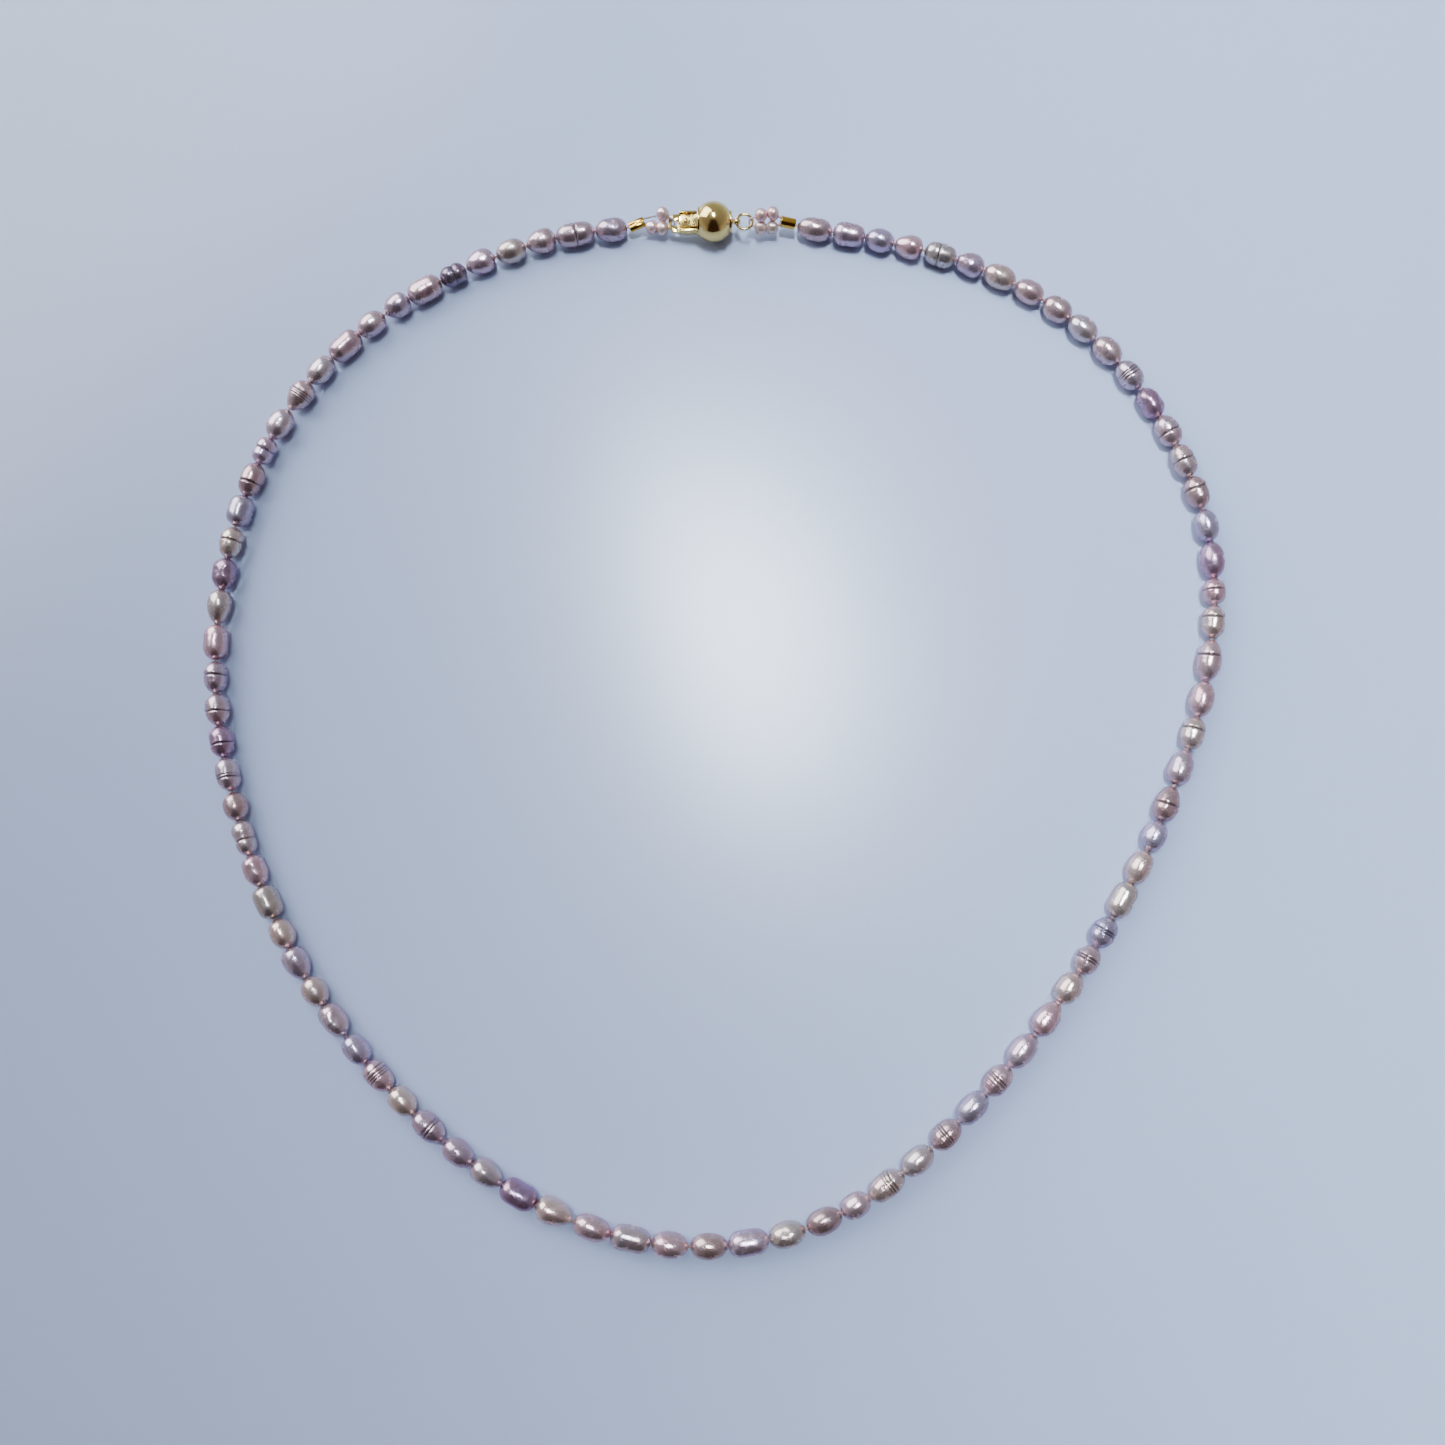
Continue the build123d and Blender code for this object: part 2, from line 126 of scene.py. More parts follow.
def noise_node(tree, scale, detail=2.0, roughness=0.5, stretch=None):
    """Noise over the object's own coordinates, which are metres, stretched if asked."""
    place = add_node(tree, "ShaderNodeTexCoord")
    texture = add_node(tree, "ShaderNodeTexNoise", Scale=scale, Detail=detail, Roughness=roughness)
    if stretch:
        mapping = add_node(tree, "ShaderNodeMapping")
        mapping.inputs["Scale"].default_value = stretch
        tree.links.new(place.outputs["Object"], mapping.inputs["Vector"])
        tree.links.new(mapping.outputs["Vector"], texture.inputs["Vector"])
    else:
        tree.links.new(place.outputs["Object"], texture.inputs["Vector"])
    return texture


def ramp_node(tree, source, low, high, start=0.3, end=0.7):
    """Maps a value's start..end range to low..high."""
    remap = add_node(tree, "ShaderNodeMapRange")
    for key, value in (("From Min", start), ("From Max", end), ("To Min", low), ("To Max", high)):
        remap.inputs[key].default_value = value
    tree.links.new(source, remap.inputs["Value"])
    return remap.outputs["Result"]


def colour_ramp(tree, source, low, middle, high):
    """Turns a value into a colour between three stops, each (position, colour)."""
    ramp = add_node(tree, "ShaderNodeValToRGB")
    stops = ramp.color_ramp.elements
    stops[0].position, stops[0].color = low
    stops[1].position, stops[1].color = high
    stops.new(middle[0]).color = middle[1]
    tree.links.new(source, ramp.inputs["Fac"])
    return ramp.outputs["Color"]


def two_tones(tree, source, deep, pale, shader):
    """Colours the surface between two tones, by a value."""
    colour = add_node(tree, "ShaderNodeMix", data_type="RGBA")
    colour.inputs["A"].default_value = (*deep, 1.0)
    colour.inputs["B"].default_value = (*pale, 1.0)
    tree.links.new(source, colour.inputs["Factor"])
    tree.links.new(colour.outputs["Result"], shader.inputs["Base Color"])


def bump_node(tree, source, distance, strength, shader):
    """Raises the surface's relief from a value."""
    bump = add_node(tree, "ShaderNodeBump", Distance=distance, Strength=strength)
    tree.links.new(source, bump.inputs["Height"])
    tree.links.new(bump.outputs["Normal"], shader.inputs["Normal"])


# ---------------------------------------------------------------- materials
# How many waves of each pattern there are to a metre.
PATCH_WAVES = 330.0      # overtones on a pearl
STREAK_WAVES = 900.0     # growth streaks on a pearl
GRAIN_WAVES = 1300.0     # the nacre's finest grain
MARK_WAVES = 1500.0      # handling marks on the gold
FIBRE_WAVES = 9000.0     # silk fibres
CLOUD_WAVES = 6.0        # faint clouds in the table top

# The overtones that lie over a pearl's own tone, from blue through cream to pink.
BLUE_OVERTONE = (0.32, (0.78, 0.84, 1.0, 1.0))
CREAM_OVERTONE = (0.50, (0.94, 0.93, 0.88, 1.0))
PINK_OVERTONE = (0.70, (1.0, 0.78, 0.84, 1.0))
OVERTONE_SHARE = 0.5
NACRE_SHEEN = {
    "Specular Tint": (1.0, 0.66, 0.80, 1.0),
    "IOR": 1.6,
    "Coat Weight": 0.2,
    "Coat Roughness": 0.12,
    "Coat IOR": 1.53,
    "Thin Film Thickness": 420.0,
    "Thin Film IOR": 1.45,
}


def nacre_material(name, metallic):
    """Pearl nacre: the mesh carries each pearl's tone with shade painted into its ring grooves and
    hole, and the nodes add overtones to it.
    """
    material, tree, shader = new_material(name)
    # the tone colour holds each pearl's own tone times the shade painted into its grooves and hole
    tone = add_node(tree, "ShaderNodeVertexColor", layer_name="tone")
    patches = noise_node(tree, PATCH_WAVES, detail=1.5)
    overtone = colour_ramp(tree, patches.outputs["Fac"],
                           BLUE_OVERTONE, CREAM_OVERTONE, PINK_OVERTONE)
    mixed = add_node(tree, "ShaderNodeMix", data_type="RGBA", blend_type="MULTIPLY")
    mixed.inputs["Factor"].default_value = OVERTONE_SHARE
    tree.links.new(tone.outputs["Color"], mixed.inputs["A"])
    tree.links.new(overtone, mixed.inputs["B"])
    streaks = noise_node(tree, STREAK_WAVES, detail=3.0, stretch=(1.0, 1.0, 0.35))
    shade = ramp_node(tree, streaks.outputs["Fac"], 0.95, 1.05)
    toned = add_node(tree, "ShaderNodeVectorMath", operation="SCALE")
    tree.links.new(mixed.outputs["Result"], toned.inputs[0])
    tree.links.new(shade, toned.inputs["Scale"])
    tree.links.new(toned.outputs["Vector"], shader.inputs["Base Color"])
    shader.inputs["Metallic"].default_value = metallic
    for key, value in NACRE_SHEEN.items():
        shader.inputs[key].default_value = value
    tree.links.new(ramp_node(tree, streaks.outputs["Fac"], 0.23, 0.29), shader.inputs["Roughness"])
    fine = noise_node(tree, GRAIN_WAVES, detail=1.0)
    bump_node(tree, fine.outputs["Fac"], 0.01 * MM, 0.05, shader)
    return material


def gold_material(name, deep, pale):
    """Polished gold with faint handling marks, between two colours."""
    material, tree, shader = new_material(name)
    marks = noise_node(tree, MARK_WAVES, detail=4.0, stretch=(1.0, 0.25, 1.0))
    two_tones(tree, marks.outputs["Fac"], deep, pale, shader)
    shader.inputs["Metallic"].default_value = 1.0
    tree.links.new(ramp_node(tree, marks.outputs["Fac"], 0.12, 0.18), shader.inputs["Roughness"])
    bump_node(tree, marks.outputs["Fac"], 0.01 * MM, 0.06, shader)
    return material


def thread_material(name, deep, pale):
    """Fine twisted silk thread, between two colours."""
    material, tree, shader = new_material(name)
    fibres = noise_node(tree, FIBRE_WAVES, detail=2.0)
    two_tones(tree, fibres.outputs["Fac"], deep, pale, shader)
    tree.links.new(ramp_node(tree, fibres.outputs["Fac"], 0.45, 0.7), shader.inputs["Roughness"])
    shader.inputs["Sheen Weight"].default_value = 0.4
    bump_node(tree, fibres.outputs["Fac"], 0.02 * MM, 0.5, shader)
    return material


def table_material():
    """A smooth pale table top that reflects softly."""
    material, tree, shader = new_material("table")
    clouds = noise_node(tree, CLOUD_WAVES, detail=2.0)
    two_tones(tree, clouds.outputs["Fac"], (0.43, 0.51, 0.73), (0.46, 0.54, 0.76), shader)
    shader.inputs["Roughness"].default_value = 0.22
    return material


# ---------------------------------------------------------------- reading the CAD solids
SAME_POINT = 1e-7        # CAD points nearer than this are one point, in metres
END_SHARE = 0.85         # points farther along than this share lie on an end face
AXIS_PASSES = 5


def loose_solids(node):
    """The separate solids of a CAD node, as arrays of points, in their order in the node."""
    mesh = nodes[node].data
    points = np.empty(len(mesh.vertices) * 3)
    mesh.vertices.foreach_get("co", points)
    points = points.reshape(-1, 3)
    _, same = np.unique(np.round(points / SAME_POINT).astype(np.int64), axis=0, return_inverse=True)
    same = same.ravel()
    edges = np.empty(len(mesh.edges) * 2, dtype=np.int64)
    mesh.edges.foreach_get("vertices", edges)
    edges = same[edges].reshape(-1, 2)
    label = np.arange(same.max() + 1)
    while True:
        low = np.minimum(label[edges[:, 0]], label[edges[:, 1]])
        before = label.copy()
        np.minimum.at(label, edges[:, 0], low)
        np.minimum.at(label, edges[:, 1], low)
        label = label[label]
        if (label == before).all():
            break
    owner = label[same]
    order = sorted(set(owner), key=lambda group: (owner == group).argmax())
    return [points[owner == group] for group in order]


def drilled_axis(points, guess, rim):
    """Both ends of a drilled solid's hole, from the flat rims round it."""
    axis = Vector(guess).normalized()
    for _ in range(AXIS_PASSES):
        direction = np.array(axis)
        centre = (points.max(0) + points.min(0)) / 2
        along = (points - centre) @ direction
        off_axis = np.linalg.norm(points - centre - np.outer(along, direction), axis=1)
        near = off_axis < rim
        far = along[near].max() * END_SHARE
        ends = [points[near & (along * side > far)].mean(0) for side in (-1, 1)]
        axis = (Vector(ends[1]) - Vector(ends[0])).normalized()
    return Vector(ends[0]), Vector(ends[1])


# ---------------------------------------------------------------- pearls
# One entry a pearl, clockwise from the clasp: its form, how many rings are grown into it, and its
# tone. Forms: O oval, B barrel, D drop, L lumpy, P peanut, R ringed.
PEARLS = """
    O0m B0l O0b D0p B1g L0l O0c O0p O0m O0s   O0m O3l L0v R1m R1m R1n O0b O0v R1p R1c
    O1p O0p R1c D0l D1n O0b O0c B0g R2b R2m   O0c D0p O0l R4p O0b R3n O0s R3c O0m O0n
    O0g B0l O0n O0p B0s O0p D0c B0v D0s O0l   R2l O0c R4p O0b L0s O0c D0l O0c B0g L0p
    P1s O0n R2l R1v R1m R1l B0p D0g L0v R1c   B0b R1n P1l O0s D3m O0s B0m O0m D0l B0m
    P1k D0l O0g D0m B1m L0l
""".split()

TONES = {
    "m": (0.60, 0.45, 0.48), "l": (0.58, 0.45, 0.54), "b": (0.51, 0.44, 0.57),
    "p": (0.67, 0.47, 0.51), "g": (0.57, 0.50, 0.46), "c": (0.70, 0.56, 0.52),
    "s": (0.63, 0.52, 0.55), "v": (0.42, 0.28, 0.40), "n": (0.50, 0.35, 0.35),
    "k": (0.23, 0.19, 0.24), "x": (0.86, 0.60, 0.57), "y": (0.86, 0.68, 0.62),
}

# How each form is rounded: the power of its outline (2 is an ellipse), how far its widest place
# lies from the middle, its waist, and the height of its lumps.
SHAPES = {
    "O": dict(power=2.25, lean=0.03, waist=0.0, lumps=0.030),
    "B": dict(power=3.7, lean=0.02, waist=0.01, lumps=0.028),
    "D": dict(power=2.2, lean=0.22, waist=0.0, lumps=0.040),
    "L": dict(power=2.4, lean=0.10, waist=0.02, lumps=0.085),
    "P": dict(power=2.6, lean=0.05, waist=0.13, lumps=0.045),
    "R": dict(power=2.5, lean=0.05, waist=0.03, lumps=0.035),
    "S": dict(power=2.7, lean=0.02, waist=0.0, lumps=0.07),
}
PEARL_ROWS = 46
PEARL_SIDES = 44
HOLE_RADIUS = 0.45 * MM
PEARL_RIM = 0.8 * MM     # within this of the axis, a rice pearl's points are its hole's rims
PEARL_DRAWS = 1000       # the number before the first rice pearl's random draws

SEED_GIRTH = 2.2 * MM
SEED_STRETCH = 0.05      # how much longer each end is than the CAD's, as a share of the length
SEED_HOLE = 0.24 * MM
SEED_RIM = 0.5 * MM
SEED_DRAWS = {"right": 300, "left": 400}

# The drilled hole's rings of points, end to end: each (place along, share of the hole's radius).
HOLE_RINGS = ((0.985, 1.0), (0.82, 1.02), (-0.82, 1.02), (-0.985, 1.0))
HOLE_PAINTED_SHADE = 0.4         # the tone inside the hole
END_OPENING = 1.15       # least radius at the ends, as a share of the hole's
CREASE_PAINTED_SHADE = 0.8       # how far the shade painted into a ring groove darkens the pearl
CREASE_WIDTH = 0.9       # the painted shade band's width, as a share of the groove's
RING_SWAY = 0.035        # how far a ring slants, as a share of half the length
SWAY_WIDTH = 0.3         # how far along the pearl that slant fades
CLOSEST_ROWS = 0.008     # rows of points nearer than this become one


def outline_radius(place, shape):
    """Radius, as a share of half the girth, at a place from -1 to 1 along the pearl."""
    lean = shape["lean"]
    warped = (place - lean) / (1.0 - lean * place)
    radius = max(0.0, 1.0 - abs(warped) ** shape["power"]) ** 0.5
    return radius * (1.0 - shape["waist"] * math.exp(-(place / 0.33) ** 2))


def groove_list(rng, count):
    """The ring grooves of a pearl, each (middle, width, depth, share of the way round, turn)."""
    first = rng.uniform(-0.25, 0.15) - 0.07 * (count - 1)
    widths, depths = ((0.05, 0.065), (0.08, 0.11)) if count < 3 else ((0.04, 0.05), (0.05, 0.07))
    grooves = []
    for index in range(count):
        grooves.append((first + index * rng.uniform(0.14, 0.2),
                        rng.uniform(*widths),
                        rng.uniform(*depths),
                        1.0 if index == 0 else rng.uniform(0.4, 1.0),
                        rng.uniform(0, math.tau)))
    return grooves


def ring_share(reach, turn, angle):
    """How strongly a ring shows at an angle: fully at its turn, and by its reach far from there."""
    return reach + (1.0 - reach) * max(0.0, math.cos(angle - turn))


def pearl_surface(rng, shape, grooves, half, girth_radius):
    """A function from (place along, angle round) to the pearl's radius there."""
    offset = Vector([rng.uniform(-50.0, 50.0) for _ in range(3)])
    lumps = shape["lumps"]
    oval = rng.uniform(0.0, 0.035)
    oval_turn = rng.uniform(0, math.pi)
    pits = [(rng.uniform(-0.6, 0.6), rng.uniform(0, math.tau), rng.uniform(0.08, 0.16),
             rng.uniform(0.02, 0.045)) for _ in range(rng.choice((0, 1, 1, 2)))]

    def radius_at(place, angle):
        base = outline_radius(place, shape)
        ray = Vector((place * half / girth_radius, base * math.cos(angle), base * math.sin(angle)))
        swell = noise.noise(ray * 0.9 + offset) * lumps * 1.5
        ripple = noise.noise(ray * 2.4 + offset * 1.7) * lumps * 0.5
        squeezed = Vector((ray.x * 6.0, ray.y * 1.6, ray.z * 1.6))
        wrinkle = noise.noise(squeezed + offset) * lumps * 0.07
        change = 1.0 + swell + ripple + wrinkle + oval * math.cos(2.0 * (angle - oval_turn))
        for middle, width, depth, reach, turn in grooves:
            share = ring_share(reach, turn, angle)
            dip = math.exp(-((place - middle) / width) ** 2)
            shoulder = math.exp(-((place - middle) / (width * 4.5)) ** 2)
            change -= depth * share * (dip - 0.4 * shoulder)
        for middle, turn, size, depth in pits:
            away = (place - middle) ** 2 + (1.0 - math.cos(angle - turn)) * 1.2
            change -= depth * math.exp(-away / size ** 2)
        return girth_radius * base * change

    return radius_at


def row_places(grooves):
    """Places of the rings of vertices, close together at the ends and at each groove."""
    places = [-math.cos(math.pi * (0.06 + 0.88 * row / (PEARL_ROWS - 1)))
              for row in range(PEARL_ROWS)]
    for middle, width, *_ in grooves:
        places += [middle + width * step for step in (-1.8, -1.0, -0.5, 0.0, 0.5, 1.0, 1.8)]
    places = sorted(places)
    return [place for place, before in zip(places, [-math.inf] + places)
            if place - before > CLOSEST_ROWS]


def pearl_mesh(name, start, end, girth, code, rng, hole=HOLE_RADIUS):
    """One drilled pearl between two points, as a closed mesh."""
    shape = SHAPES[code[0]]
    grooves = groove_list(rng, int(code[1]))
    axis = (end - start).normalized()
    side = Vector((0, 0, 1)).cross(axis).normalized()
    up = axis.cross(side)
    middle, half = (start + end) / 2, (end - start).length / 2
    girth_radius = girth / 2 / (1.0 + shape["lumps"] * 0.55)
    radius_at = pearl_surface(rng, shape, grooves, half, girth_radius)
    rows = row_places(grooves)
    scale = 1.0 / rows[-1]
    around = [math.tau * index / PEARL_SIDES for index in range(PEARL_SIDES)]
    outward = [side * math.cos(angle) + up * math.sin(angle) for angle in around]
    verts, painted_shades = [], []
    for place in rows:
        for angle, out in zip(around, outward):
            # painted shade: the tone darkens along each ring groove, where shade falls in the
            # crease
            painted_crease_shade = sum(ring_share(reach, turn, angle)
                         * math.exp(-((place - at) / (wide * CREASE_WIDTH)) ** 2)
                         for at, wide, _, reach, turn in grooves)
            painted_shades.append(1.0 - CREASE_PAINTED_SHADE * min(1.0, painted_crease_shade))
            sway = sum(RING_SWAY * math.sin(angle + turn)
                       * math.exp(-((place - at) / SWAY_WIDTH) ** 2)
                       for at, _, _, _, turn in grooves)
            radius = max(radius_at(place, angle), hole * END_OPENING)
            verts.append(middle + axis * ((place * scale + sway) * half) + out * radius)
    for place, share in HOLE_RINGS:
        verts += [middle + axis * (place * half) + out * hole * share for out in outward]
        # painted shade on the hole's walls
        painted_shades += [HOLE_PAINTED_SHADE] * PEARL_SIDES
    loops = len(rows) + len(HOLE_RINGS)
    faces = []
    for row in range(loops):
        after = (row + 1) % loops
        for index in range(PEARL_SIDES):
            beside = (index + 1) % PEARL_SIDES
            faces.append((row * PEARL_SIDES + index, row * PEARL_SIDES + beside,
                          after * PEARL_SIDES + beside, after * PEARL_SIDES + index))
    pearl = mesh_object(name, verts, faces)
    paint_tone_and_shade(pearl, TONES[code[2]], painted_shades, rng)
    return pearl


def mesh_object(name, verts, faces, smooth=True):
    """A new object in the scene, from its points and faces."""
    mesh = bpy.data.meshes.new(name)
    mesh.from_pydata([tuple(v) for v in verts], [], faces)
    mesh.update()
    if smooth:
        mesh.polygons.foreach_set("use_smooth", [True] * len(mesh.polygons))
    obj = bpy.data.objects.new(name, mesh)
    bpy.context.scene.collection.objects.link(obj)
    return obj


def paint_tone_and_shade(obj, tone, painted_shades, rng):
    """Stores the pearl's own colour on its mesh, with painted shade where a ring is creased in and
    inside the hole.
    """
    light = rng.uniform(0.93, 1.09)
    colour = np.array([channel * light * rng.uniform(0.97, 1.03) for channel in tone])
    values = np.ones((len(painted_shades), 4))
    values[:, :3] = colour * np.array(painted_shades)[:, None]
    layer = obj.data.color_attributes.new("tone", "FLOAT_COLOR", "POINT")
    layer.data.foreach_set("color", values.ravel())


def link_order(side):
    """The nodes of one side's rice pearls, from the clasp."""
    return sorted(name for name in nodes if name.startswith(f"{side}_pearls_"))


def strand_solids():
    """(node, points) for every rice pearl, clockwise from the clasp."""
    found = [(node, points) for node in link_order("right") for points in in_order(node)]
    left = [(node, points) for node in link_order("left")[::-1] for points in in_order(node)]
    return found + left


def in_order(node):
    """A link's pearls, clockwise round the loop."""
    centre = (cad_low + cad_high) / 2

    def bearing(points):
        spot = points.mean(0)
        return math.atan2(spot[0] - centre.x, spot[1] - centre.y) % math.tau
    return sorted(loose_solids(node), key=bearing)


def body_of(node):
    """The name of the moving body that a CAD node belongs to."""
    return nodes[node]["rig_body"]


def build_seeds(side, nacre):
    """The seed pearls of one small loop: rounder, paler and pinker than the rice pearls."""
    node = f"{side}_seed_pearls"
    tube = node_middle(f"{side}_end_tube")
    clasp = node_middle("jump_ring" if side == "right" else "eye_plate")
    for number, points in enumerate(loose_solids(node), start=1):
        start, end = drilled_axis(points, tube - clasp, SEED_RIM)
        rng = random.Random(SEED_DRAWS[side] + number)
        stretch = (end - start) * SEED_STRETCH
        seed = pearl_mesh(f"{side}_seed_{number}", start - stretch, end + stretch, SEED_GIRTH,
                          "S0" + rng.choice("xy"), rng, SEED_HOLE)
        seed.data.materials.append(nacre)
        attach(seed, body_of(node))
    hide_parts(node)


def node_middle(node):
    """The middle of a CAD node's box."""
    low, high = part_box(node)
    return (Vector(low) + Vector(high)) / 2


def build_pearls(nacre):
    """The rice pearls, each on its own CAD solid and as wide as that is."""
    solids = strand_solids()
    middles = [Vector((points.max(0) + points.min(0)) / 2) for _, points in solids]
    made = {}
    for number, ((node, points), code) in enumerate(zip(solids, PEARLS)):
        before = middles[max(number - 1, 0)]
        after = middles[min(number + 1, len(middles) - 1)]
        start, end = drilled_axis(points, after - before, PEARL_RIM)
        axis = (end - start).normalized()
        across = points - np.array((start + end) / 2)
        along = across @ np.array(axis)
        girth = 2 * np.linalg.norm(across - np.outer(along, np.array(axis)), axis=1).max()
        rng = random.Random(PEARL_DRAWS + number)
        pearl = pearl_mesh(f"pearl_{number + 1:02d}", start, end, girth, code, rng)
        pearl.data.materials.append(nacre)
        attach(pearl, body_of(node))
        made.setdefault(node, []).append(pearl)
    for node, pearls in made.items():
        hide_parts(node)


# ---------------------------------------------------------------- metal and thread
EDGE_WEAR = 0.05 * MM                # how far the clasp's edges are rounded
TUBE_WEAR = 0.04 * MM                # and the squeezed tube's
WELD = 0.001 * MM
FLAT_ANGLE = math.radians(2.0)       # faces that meet flatter than this are one face
EDGE_ANGLE = math.radians(35.0)      # edges sharper than this are rounded
SHADING_ANGLE = math.radians(32.0)   # edges sharper than this still shade as edges

RING_HALF_CUT = 0.045 * MM
RING_STEPS = 72
RING_SIDES = 20
RING_SHADING_ANGLE = math.radians(50.0)


def dress(node, material):
    """Gives a CAD piece its material."""
    obj = nodes[node]
    obj.data.materials.clear()
    obj.data.materials.append(material)


def bevelled(node, material, width):
    """A CAD piece with its edges rounded, in the CAD piece's place."""
    source = nodes[node].data
    mesh = bpy.data.meshes.new(f"{node}_worn")
    body = bmesh.new()
    body.from_mesh(source)
    bmesh.ops.remove_doubles(body, verts=body.verts, dist=WELD)
    bmesh.ops.dissolve_limit(body, angle_limit=FLAT_ANGLE, verts=body.verts, edges=body.edges)
    sharp = [edge for edge in body.edges
             if len(edge.link_faces) == 2 and edge.calc_face_angle(0.0) > EDGE_ANGLE]
    bmesh.ops.bevel(body, geom=sharp, offset=width, segments=2, profile=0.5, affect="EDGES",
                    clamp_overlap=True)
    for face in body.faces:
        face.smooth = True
    body.to_mesh(mesh)
    body.free()
    mesh.set_sharp_from_angle(angle=SHADING_ANGLE)
    piece = bpy.data.objects.new(f"{node}_worn", mesh)
    bpy.context.scene.collection.objects.link(piece)
    mesh.materials.append(material)
    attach(piece, body_of(node))
    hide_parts(node)


def smooth_jump_ring(material):
    """The jump ring as a round wire, open by the width of its cut."""
    low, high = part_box("jump_ring")
    middle = (Vector(low) + Vector(high)) / 2
    wire = (high[2] - low[2]) / 2
    radius = (high[0] - low[0]) / 2 - wire
    cut = RING_HALF_CUT / radius
    steps, sides = RING_STEPS, RING_SIDES
    verts = []
    for step in range(steps + 1):
        turn = -math.pi / 2 + cut + (math.tau - 2 * cut) * step / steps
        spoke = Vector((math.cos(turn), math.sin(turn), 0))
        for index in range(sides):
            angle = math.tau * index / sides
            offset = spoke * math.cos(angle) + Vector((0, 0, math.sin(angle)))
            verts.append(middle + spoke * radius + offset * wire)
    faces = [(step * sides + index, step * sides + (index + 1) % sides,
              (step + 1) * sides + (index + 1) % sides, (step + 1) * sides + index)
             for step in range(steps) for index in range(sides)]
    faces += [tuple(range(sides))[::-1], tuple(steps * sides + index for index in range(sides))]
    ring = mesh_object("jump_ring_wire", verts, faces)
    ring.data.set_sharp_from_angle(angle=RING_SHADING_ANGLE)
    ring.data.materials.append(material)
    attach(ring, body_of("jump_ring"))
    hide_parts("jump_ring")


def build_metal():
    """The clasp in pale gold, the jump ring in a duller one and the end tubes in a deeper one."""
    pale = gold_material("pale_gold", (0.78, 0.57, 0.17), (0.88, 0.69, 0.25))
    brassy = gold_material("tube_gold", (0.62, 0.36, 0.04), (0.72, 0.46, 0.08))
    dress("ball_shell", pale)
    smooth_jump_ring(gold_material("ring_gold", (0.46, 0.33, 0.11), (0.60, 0.46, 0.19)))
    for node in ("mouth_plate", "end_cap", "ring_eye", "tongue_plate", "eye_plate", "spring_leaf",
                 "thumb_stud"):
        bevelled(node, pale, EDGE_WEAR)
    dress("right_end_tube", brassy)
    bevelled("left_end_tube", brassy, TUBE_WEAR)


def build_threads():
    """The beading thread, and the two loop threads in their own colours."""
    silk = thread_material("thread", (0.24, 0.10, 0.10), (0.62, 0.36, 0.34))
    loop_silks = {
        "right_loop_thread": thread_material("pale_thread", (0.36, 0.22, 0.22), (0.66, 0.48, 0.46)),
        "left_loop_thread": thread_material("grey_thread", (0.20, 0.17, 0.19), (0.46, 0.40, 0.42)),
    }
    for subpart in frame["record"]["subparts"]:
        if subpart["material_slot"] == "thread":
            dress(subpart["node"], loop_silks.get(subpart["node"], silk))


# ---------------------------------------------------------------- table and light
TABLE_SIZE = 1.6

# The room's colour from the near side, through the middle, to the far side.
ROOM_NEAR = (0.0, (0.20, 0.17, 0.19, 1.0))
ROOM_MIDDLE = (0.5, (0.26, 0.25, 0.29, 1.0))
ROOM_FAR = (1.0, (0.34, 0.37, 0.44, 1.0))
HORIZON_COLOUR = (0.52, 0.49, 0.53, 1.0)
FIGURE_COLOUR = (0.030, 0.014, 0.013, 1.0)
FIGURE_TAPER = 0.55      # how much the dark figure widens towards the viewer


def build_table(material):
    """The table top, as one square face at the necklace's lowest plane."""
    half = TABLE_SIZE / 2
    corners = [(-half, -half, 0), (half, -half, 0), (half, half, 0), (-half, half, 0)]
    table = mesh_object("table", corners, [(0, 1, 2, 3)], smooth=False)
    table.data.materials.append(material)


def area_light(name, centre, aim, width, height, power, colour):
    """A rectangular light that lights and reflects, but isn't in the picture itself."""
    data = bpy.data.lights.new(name, "AREA")
    data.shape, data.size, data.size_y = "RECTANGLE", width, height
    data.energy, data.color = power, colour
    light = bpy.data.objects.new(name, data)
    bpy.context.scene.collection.objects.link(light)
    light.location = centre
    light.visible_camera = False
    light.rotation_euler = (Vector(aim) - Vector(centre)).to_track_quat("-Z", "Y").to_euler()
    return light


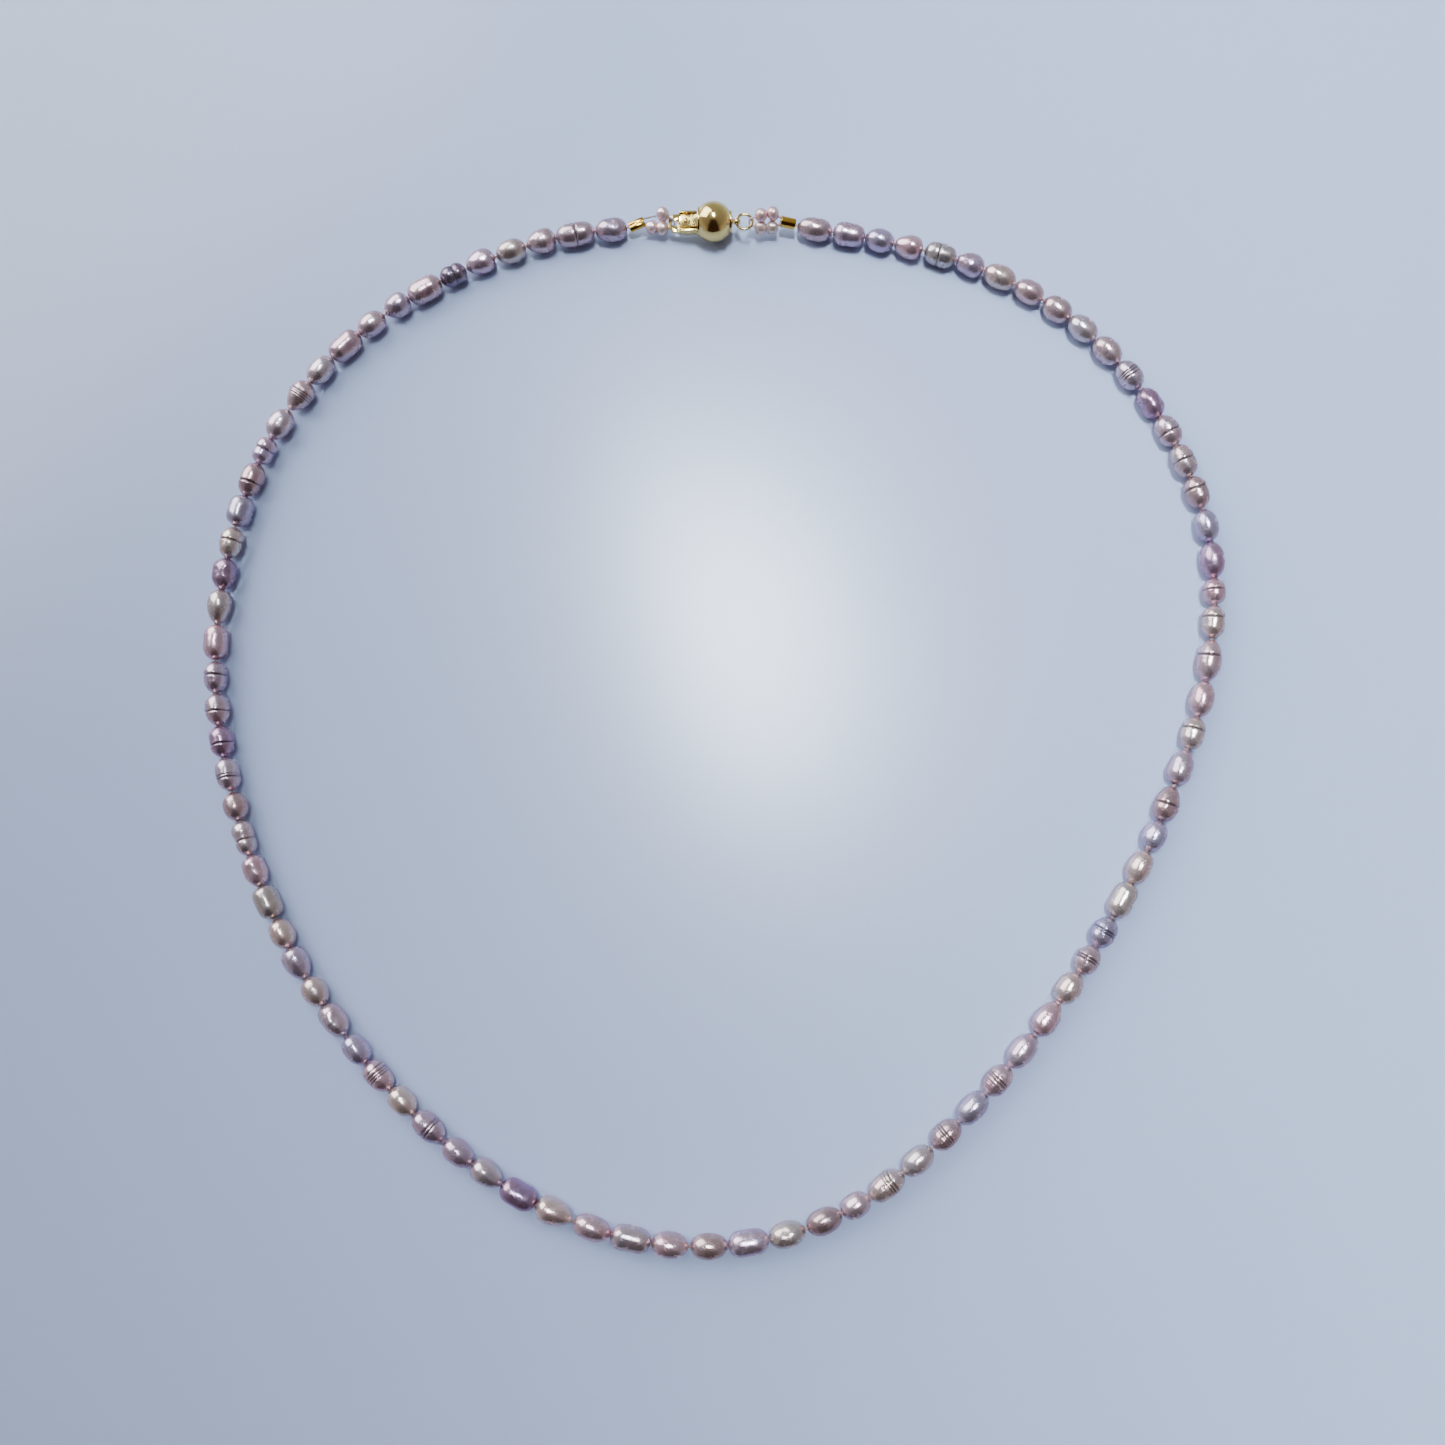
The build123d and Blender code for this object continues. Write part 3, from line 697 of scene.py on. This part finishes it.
def room_colour(tree):
    """The room: paler on the far side and near the horizon, with a dark figure on the near side."""
    place = add_node(tree, "ShaderNodeTexCoord")
    split = add_node(tree, "ShaderNodeSeparateXYZ")
    tree.links.new(place.outputs["Generated"], split.inputs["Vector"])
    depth = ramp_node(tree, split.outputs["Y"], 0.0, 1.0, start=-0.9, end=0.9)
    walls = colour_ramp(tree, depth, ROOM_NEAR, ROOM_MIDDLE, ROOM_FAR)
    near = ramp_node(tree, split.outputs["Y"], 1.0, 0.0, start=-0.32, end=-0.06)
    aside = add_node(tree, "ShaderNodeMath", operation="ABSOLUTE")
    tree.links.new(split.outputs["X"], aside.inputs[0])
    spread = add_node(tree, "ShaderNodeMath", operation="MULTIPLY_ADD")
    spread.inputs[1].default_value = FIGURE_TAPER
    tree.links.new(split.outputs["Y"], spread.inputs[0])
    tree.links.new(aside.outputs["Value"], spread.inputs[2])
    width = ramp_node(tree, spread.outputs["Value"], 1.0, 0.0, start=-0.02, end=0.3)
    figure = add_node(tree, "ShaderNodeMath", operation="MULTIPLY")
    tree.links.new(near, figure.inputs[0])
    tree.links.new(width, figure.inputs[1])
    lifted = add_node(tree, "ShaderNodeMix", data_type="RGBA")
    lifted.inputs["B"].default_value = HORIZON_COLOUR
    tree.links.new(ramp_node(tree, split.outputs["Z"], 0.8, 0.0, start=0.05, end=0.5),
                   lifted.inputs["Factor"])
    tree.links.new(walls, lifted.inputs["A"])
    room = add_node(tree, "ShaderNodeMix", data_type="RGBA")
    room.inputs["B"].default_value = FIGURE_COLOUR
    tree.links.new(figure.outputs["Value"], room.inputs["Factor"])
    tree.links.new(lifted.outputs["Result"], room.inputs["A"])
    return room.outputs["Result"]


def build_light():
    """A narrow panel that glares on the table, a window to one side, and the room all round."""
    panel = area_light("ceiling_panel", (0.02, 0.40, 1.42), (0.10, 0.15, 0), 0.20, 1.0, 1.55,
                       (0.80, 0.90, 1.0))
    panel.data.spread = math.radians(21.0)
    area_light("window", (-0.60, 0.58, 0.52), (0, 0, 0), 0.8, 0.8, 14.0, (0.90, 0.95, 1.0))
    world = bpy.data.worlds.new("room")
    bpy.context.scene.world = world
    world.use_nodes = True
    background = world.node_tree.nodes["Background"]
    world.node_tree.links.new(room_colour(world.node_tree), background.inputs["Color"])
    background.inputs["Strength"].default_value = 1.0


# ---------------------------------------------------------------- the whole scene
add_camera()
build_pearls(nacre_material("nacre", 0.86))
SEED_NACRE = nacre_material("seed_nacre", 0.72)
build_seeds("right", SEED_NACRE)
build_seeds("left", SEED_NACRE)
build_metal()
build_threads()
build_table(table_material())
build_light()
